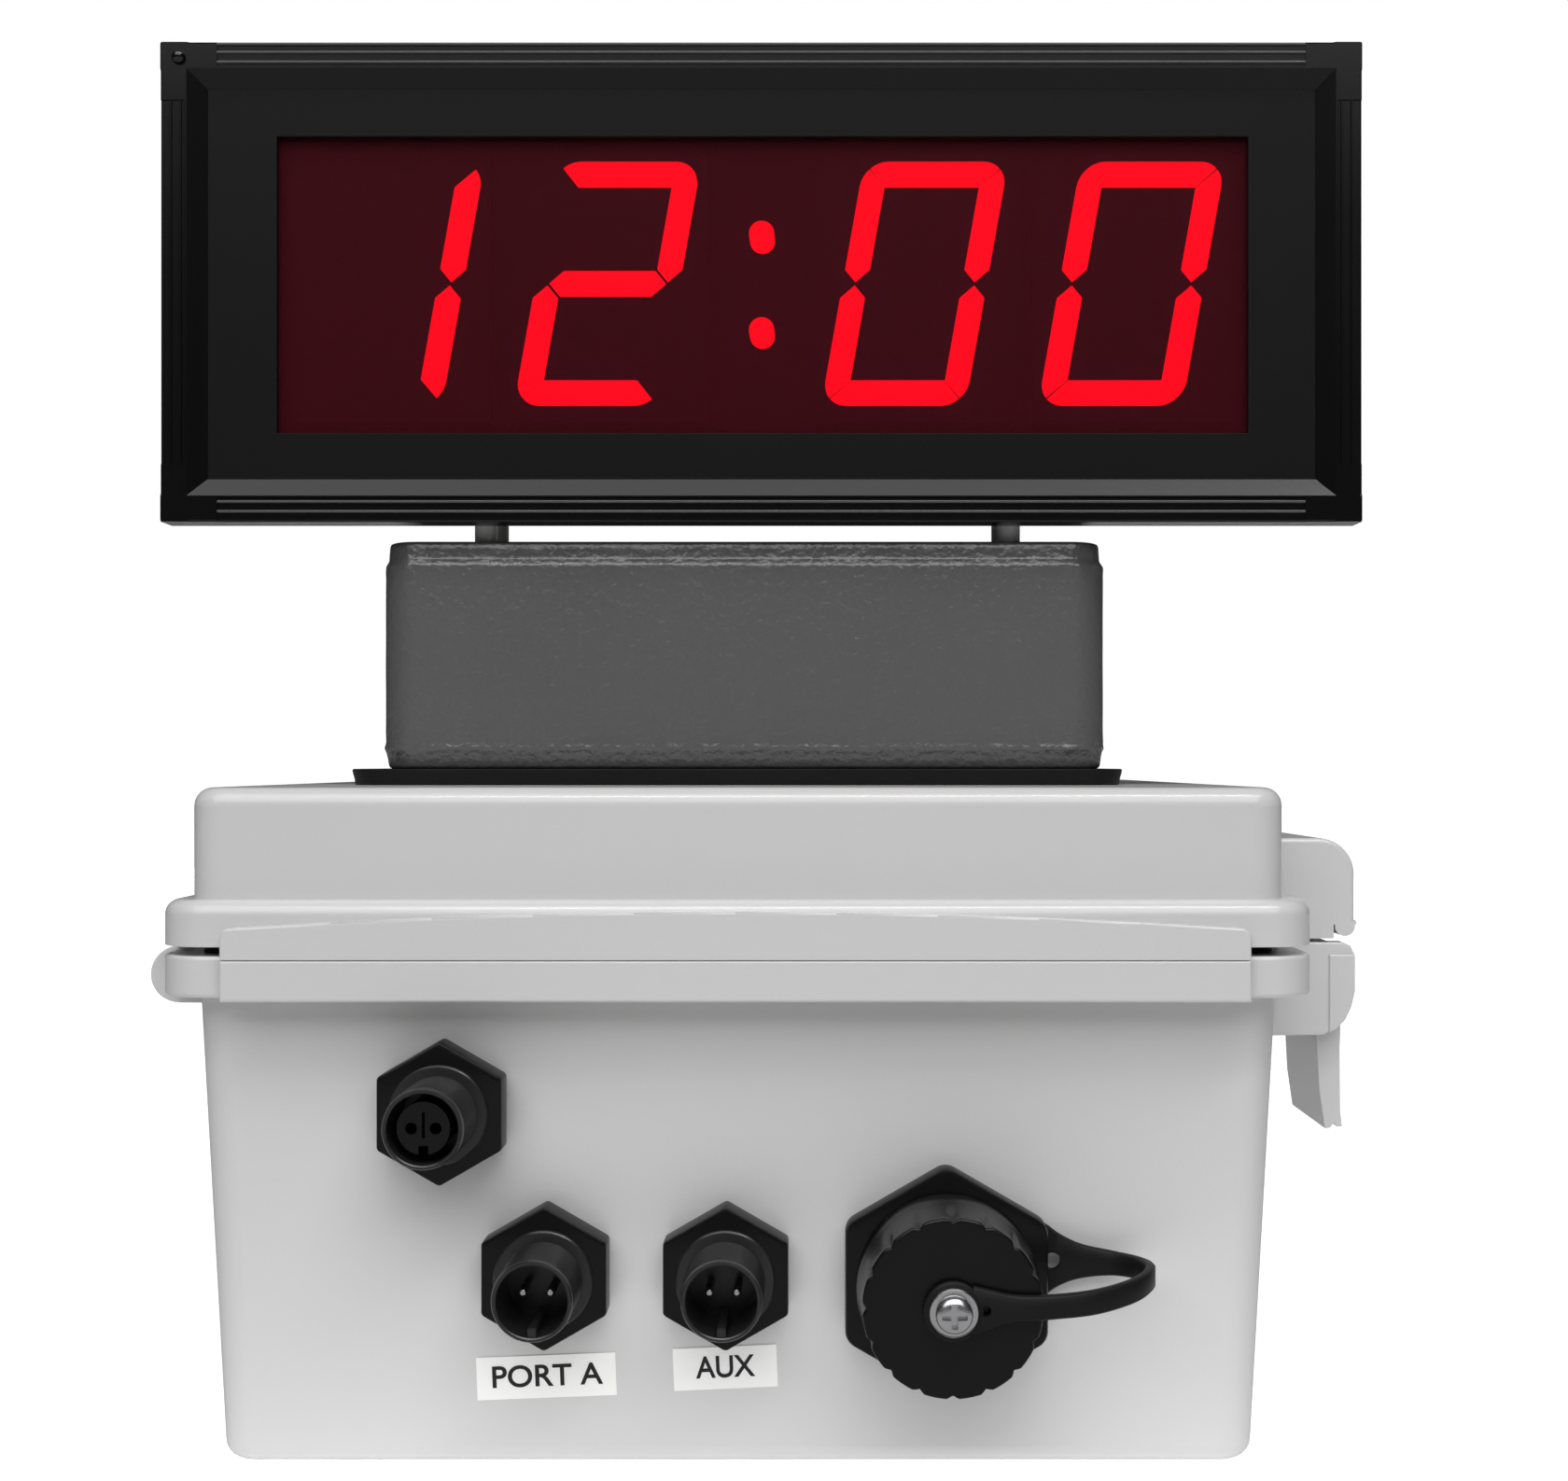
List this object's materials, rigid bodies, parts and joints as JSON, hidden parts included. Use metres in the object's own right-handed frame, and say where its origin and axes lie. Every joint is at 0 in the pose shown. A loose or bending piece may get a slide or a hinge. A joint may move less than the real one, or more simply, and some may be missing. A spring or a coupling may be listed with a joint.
{
  "type": "countdown signal controller",
  "caption": "Hinged plastic enclosure with bulkhead ports, carrying a painted driver housing and a four-digit red display on its lid.",
  "frame": {"origin": "centre of the enclosure's back face", "axes": "+Z out of the back face towards the lid and display, +X towards the latches, -Y towards the end wall with the ports"},
  "size_m": [0.258, 0.2898, 0.2914],
  "materials": {
    "enclosure_plastic": "light grey moulded polycarbonate, satin gloss",
    "painted_steel": "mid grey paint with orange peel",
    "frame_black": "black anodised, satin",
    "bezel_black": "fine textured black",
    "window_tint": "dark red tinted, semi gloss",
    "lamp_red": "lit red",
    "digit_plastic": "dark red filled face",
    "sensor_dome": "glossy black",
    "port_black": "black nylon, slightly worn",
    "black_rubber": "matte black rubber",
    "bright_metal": "plated",
    "zinc_plate": "zinc plated",
    "circuit_board": "green solder mask",
    "white_nylon": "white nylon",
    "label_white": "printed label"
  },
  "bodies": {
    "base": {"enclosure_base": "enclosure_plastic", "mounting_plate": "zinc_plate", "plate_screws": "bright_metal", "control_board": "circuit_board", "board_standoffs": "white_nylon", "board_screws": "bright_metal", "terminal_block": "port_black", "power_module": "zinc_plate", "lid_gasket": "black_rubber", "hinge_pin": "bright_metal", "latch_pins": "bright_metal", "sensor_port_body": "port_black", "sensor_port_insert": "port_black", "power_port_body": "port_black", "power_port_pins": "bright_metal", "input_port_body": "port_black", "input_port_pins": "bright_metal", "port_gaskets": "black_rubber", "port_nuts": "port_black", "data_port_body": "port_black", "data_port_jack": "port_black", "data_port_gasket": "black_rubber", "data_port_nut": "port_black", "tether_strap": "black_rubber", "power_label": "label_white", "input_label": "label_white"},
    "lid": {"enclosure_lid": "enclosure_plastic", "rubber_mat": "black_rubber", "driver_housing": "painted_steel", "housing_base_plate": "zinc_plate", "housing_screws": "bright_metal", "driver_board": "circuit_board", "frame_rail_top": "frame_black", "frame_rail_bottom": "frame_black", "frame_rail_left": "frame_black", "frame_rail_right": "frame_black", "frame_corners": "frame_black", "light_sensor": "sensor_dome", "bezel_panel": "bezel_black", "display_window": "window_tint", "display_case": "bezel_black", "rear_cover": "bezel_black", "rear_cover_screws": "bright_metal", "display_board": "circuit_board", "display_standoffs": "white_nylon", "standoff_screws": "bright_metal", "digit_block_1": "digit_plastic", "digit_block_2": "digit_plastic", "digit_block_3": "digit_plastic", "digit_block_4": "digit_plastic", "digit_segments": "lamp_red", "colon_lamps": "lamp_red"},
    "latch_front": {"latch_lever_front": "enclosure_plastic"},
    "latch_rear": {"latch_lever_rear": "enclosure_plastic"},
    "cap": {"port_cap": "port_black", "cap_seal": "black_rubber", "cap_screw": "bright_metal", "cap_washer": "bright_metal"}
  },
  "joints": [
    {"name": "lid_hinge", "type": "hinge", "parent": "base", "child": "lid", "pos_m": [-0.1116, 0, 0.0945], "axis": [0, -1, 0], "range_deg": [0, 100]},
    {"name": "latch_front_pivot", "type": "hinge", "parent": "base", "child": "latch_front", "pos_m": [0.125, -0.0765, 0.0952], "axis": [0, -1, 0], "range_deg": [0, 85]},
    {"name": "latch_rear_pivot", "type": "hinge", "parent": "base", "child": "latch_rear", "pos_m": [0.125, 0.0765, 0.0952], "axis": [0, -1, 0], "range_deg": [0, 85]},
    {"name": "cap_turn", "type": "hinge", "parent": "base", "child": "cap", "pos_m": [0.0403, -0.14, 0.0374], "axis": [0, -1, 0], "range_deg": [0, 60]}
  ]
}
